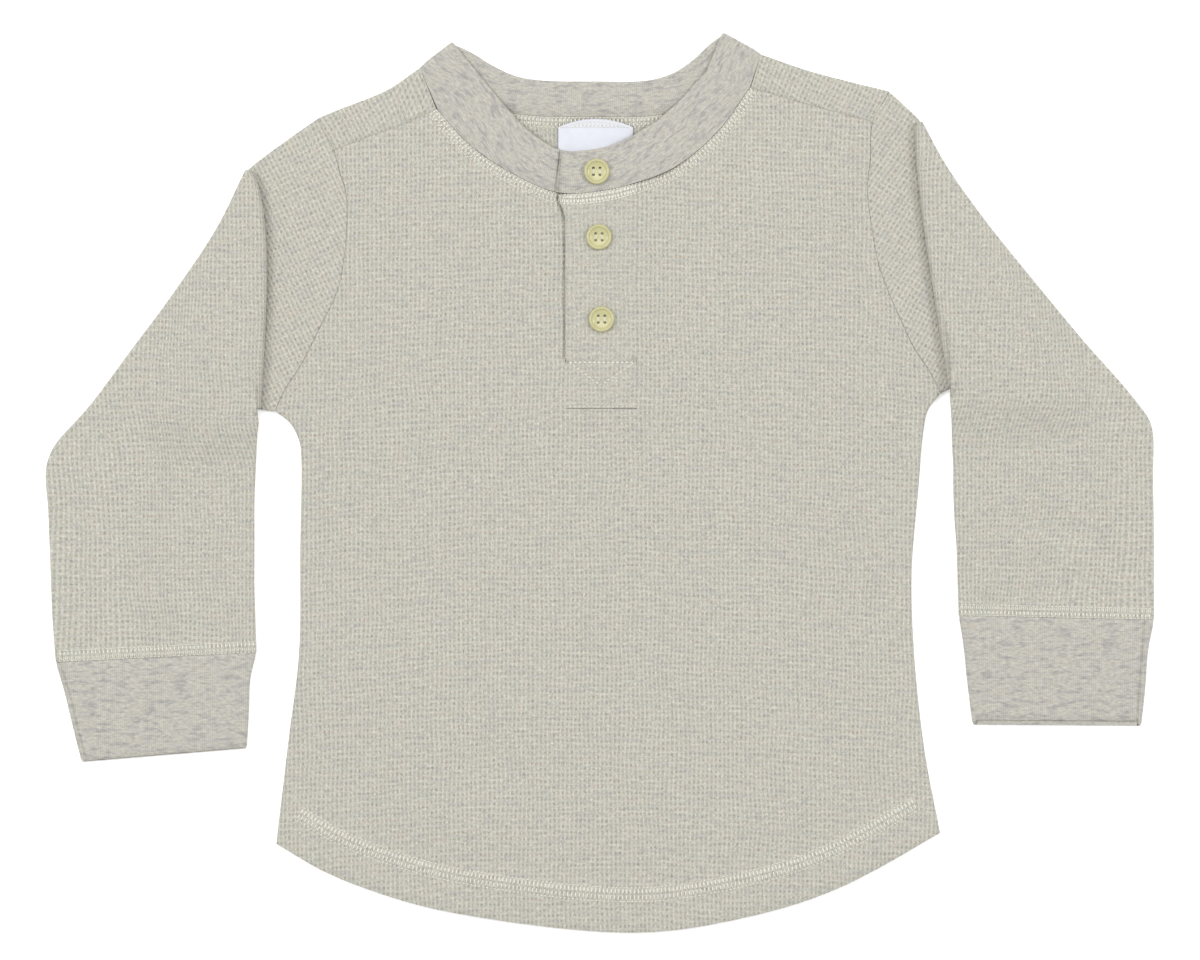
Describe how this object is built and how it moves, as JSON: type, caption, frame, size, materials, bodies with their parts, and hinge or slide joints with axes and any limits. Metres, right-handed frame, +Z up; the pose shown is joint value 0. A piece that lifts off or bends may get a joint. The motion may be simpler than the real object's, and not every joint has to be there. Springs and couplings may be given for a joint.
{
  "type": "henley shirt",
  "caption": "Toddler's long-sleeved waffle-knit henley shirt laid flat front up, with a buttoned placket, jersey neckband and cuffs and a curved hem.",
  "frame": {"origin": "centre of the garment's outline on the surface that it lies on", "axes": "+X to the wearer's left, along the longest extent; +Y to the collar; +Z up from the surface, out of the front"},
  "size_m": [0.51, 0.4141, 0.0104],
  "materials": {
    "waffle_knit": "waffle knit, oatmeal heather",
    "jersey": "fine jersey, oatmeal heather",
    "placket_knit": "pressed waffle knit, oatmeal heather",
    "label_tape": "smooth woven tape, white",
    "button_resin": "cast resin, pale yellow"
  },
  "bodies": {
    "root": {"back": "waffle_knit", "front": "waffle_knit", "sleeve_left": "waffle_knit", "sleeve_right": "waffle_knit", "cuff_left": "jersey", "cuff_right": "jersey", "neckband": "jersey", "placket_under": "placket_knit", "placket_upper": "placket_knit", "label": "label_tape", "button_1": "button_resin", "button_2": "button_resin", "button_3": "button_resin"}
  },
  "joints": []
}
